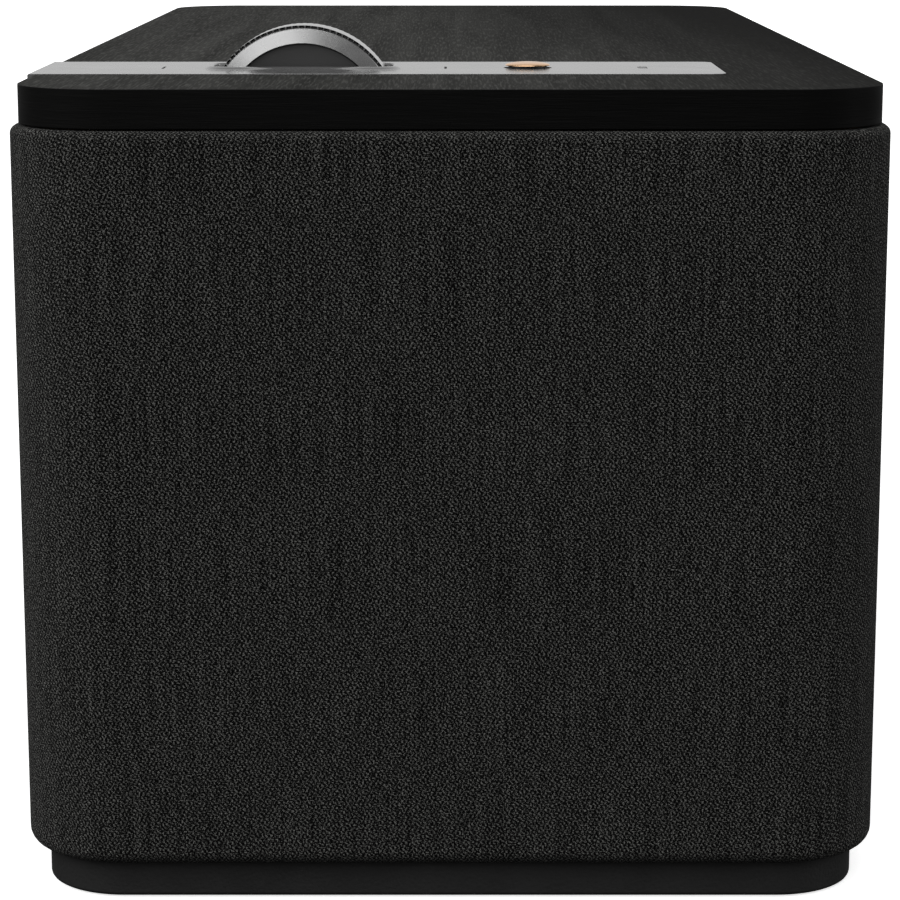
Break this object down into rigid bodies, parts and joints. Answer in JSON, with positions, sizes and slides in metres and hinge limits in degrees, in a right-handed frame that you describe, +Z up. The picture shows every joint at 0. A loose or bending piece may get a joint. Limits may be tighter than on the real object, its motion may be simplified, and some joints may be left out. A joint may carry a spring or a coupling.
{
  "type": "powered tabletop speaker with subwoofer",
  "caption": "Cloth-wrapped powered speaker with a subwoofer driver, black wood top, aluminium control strip, volume wheel and source button.",
  "frame": {"origin": "on the floor under the middle of the cabinet", "axes": "+Z up; +Y along the length, the control strip lies near the -Y end; -X is the listening side and +X the connection side"},
  "size_m": [0.15, 0.3194, 0.1487],
  "materials": {
    "base_plastic": "moulded black plastic with a fine leather-like grain",
    "moulded_plastic": "plain moulded black plastic",
    "grille_fabric": "charcoal melange woven speaker cloth",
    "black_wood": "open-grain wood veneer stained black, satin",
    "fibreboard": "raw medium density fibreboard",
    "satin_aluminium": "satin brushed",
    "polished_aluminium": "turned, bright, with a knurled band",
    "dark_disc": "satin dark grey",
    "steel": "plain",
    "copper_finish": "polished copper-coloured metal",
    "light_lens": "translucent light guide",
    "circuit_board": "green solder mask",
    "black_metal": "black powder coat",
    "ferrite": "ferrite",
    "cone": "pressed fibre cone",
    "copper_wire": "enamelled copper wire",
    "rubber": "matt black",
    "spider_cloth": "resin-treated cloth",
    "switch_plastic": "smooth black"
  },
  "bodies": {
    "cabinet": {"amplifier_board": "circuit_board", "aux_jack": "moulded_plastic", "base_plinth": "base_plastic", "base_screw_1": "steel", "base_screw_2": "steel", "base_screw_3": "steel", "base_screw_4": "steel", "button_switch": "moulded_plastic", "cabinet_floor": "fibreboard", "cabinet_lid": "fibreboard", "connection_panel": "moulded_plastic", "control_board": "circuit_board", "control_pod": "moulded_plastic", "control_strip": "satin_aluminium", "end_board_1": "fibreboard", "end_board_2": "fibreboard", "foot_pad_1": "rubber", "foot_pad_2": "rubber", "foot_pad_3": "rubber", "foot_pad_4": "rubber", "front_baffle": "fibreboard", "full_range_frame_1": "black_metal", "full_range_frame_2": "black_metal", "full_range_magnet_1": "ferrite", "full_range_magnet_2": "ferrite", "full_range_surround_1": "rubber", "full_range_surround_2": "rubber", "grille_cloth": "grille_fabric", "grille_frame": "moulded_plastic", "heatsink": "satin_aluminium", "inlet_pins": "steel", "light_guide": "light_lens", "power_inlet": "moulded_plastic", "radiator_frame_1": "moulded_plastic", "radiator_frame_2": "moulded_plastic", "radiator_surround_1": "rubber", "radiator_surround_2": "rubber", "rear_board": "fibreboard", "top_slab": "black_wood", "transformer": "copper_wire", "usb_port": "steel", "wheel_encoder": "moulded_plastic", "woofer_frame": "black_metal", "woofer_magnet": "ferrite", "woofer_spider": "spider_cloth", "woofer_surround": "rubber", "woofer_yoke": "steel"},
    "volume_wheel": {"wheel_rim": "polished_aluminium", "wheel_hub": "dark_disc", "wheel_axle": "steel"},
    "source_button": {"source_button": "copper_finish"},
    "woofer_cone": {"woofer_cone": "cone", "woofer_dust_cap": "cone", "woofer_voice_coil": "copper_wire"},
    "full_range_cone_1": {"full_range_cone_1": "satin_aluminium"},
    "full_range_cone_2": {"full_range_cone_2": "satin_aluminium"},
    "radiator_plate_1": {"radiator_plate_1": "cone"},
    "radiator_plate_2": {"radiator_plate_2": "cone"},
    "power_rocker": {"power_rocker": "switch_plastic"},
    "pairing_button": {"pairing_button": "switch_plastic"}
  },
  "joints": [
    {"name": "volume_wheel_turn", "type": "hinge", "parent": "cabinet", "child": "volume_wheel", "pos_m": [-0.0268, -0.10475, 0.1309], "axis": [0, 1, 0], "continuous": true},
    {"name": "source_button_press", "type": "slide", "parent": "cabinet", "child": "source_button", "axis": [0, 0, -1], "range_m": [0, 0.0006], "stiffness_N_per_m": 2500, "springref_m": -0.0002},
    {"name": "woofer_cone_stroke", "type": "slide", "parent": "cabinet", "child": "woofer_cone", "axis": [-1, 0, 0], "range_m": [-0.0035, 0.0035], "stiffness_N_per_m": 2200},
    {"name": "full_range_cone_1_stroke", "type": "slide", "parent": "cabinet", "child": "full_range_cone_1", "axis": [-1, 0, 0], "range_m": [-0.0015, 0.0015], "stiffness_N_per_m": 2500},
    {"name": "full_range_cone_2_stroke", "type": "slide", "parent": "cabinet", "child": "full_range_cone_2", "axis": [-1, 0, 0], "range_m": [-0.0015, 0.0015], "stiffness_N_per_m": 2500},
    {"name": "radiator_plate_1_stroke", "type": "slide", "parent": "cabinet", "child": "radiator_plate_1", "axis": [0, -1, 0], "range_m": [-0.0035, 0.0035], "stiffness_N_per_m": 1500},
    {"name": "radiator_plate_2_stroke", "type": "slide", "parent": "cabinet", "child": "radiator_plate_2", "axis": [0, 1, 0], "range_m": [-0.0035, 0.0035], "stiffness_N_per_m": 1500},
    {"name": "power_rocker_tilt", "type": "hinge", "parent": "cabinet", "child": "power_rocker", "pos_m": [0.07, -0.01, 0.038], "axis": [0, 1, 0], "range_deg": [-12, 0]},
    {"name": "pairing_button_press", "type": "slide", "parent": "cabinet", "child": "pairing_button", "axis": [-1, 0, 0], "range_m": [0, 0.0008], "stiffness_N_per_m": 2500, "springref_m": -0.0002}
  ],
  "couplings": [
    {"joint": "radiator_plate_2_stroke", "follows": "radiator_plate_1_stroke", "ratio": 1}
  ]
}
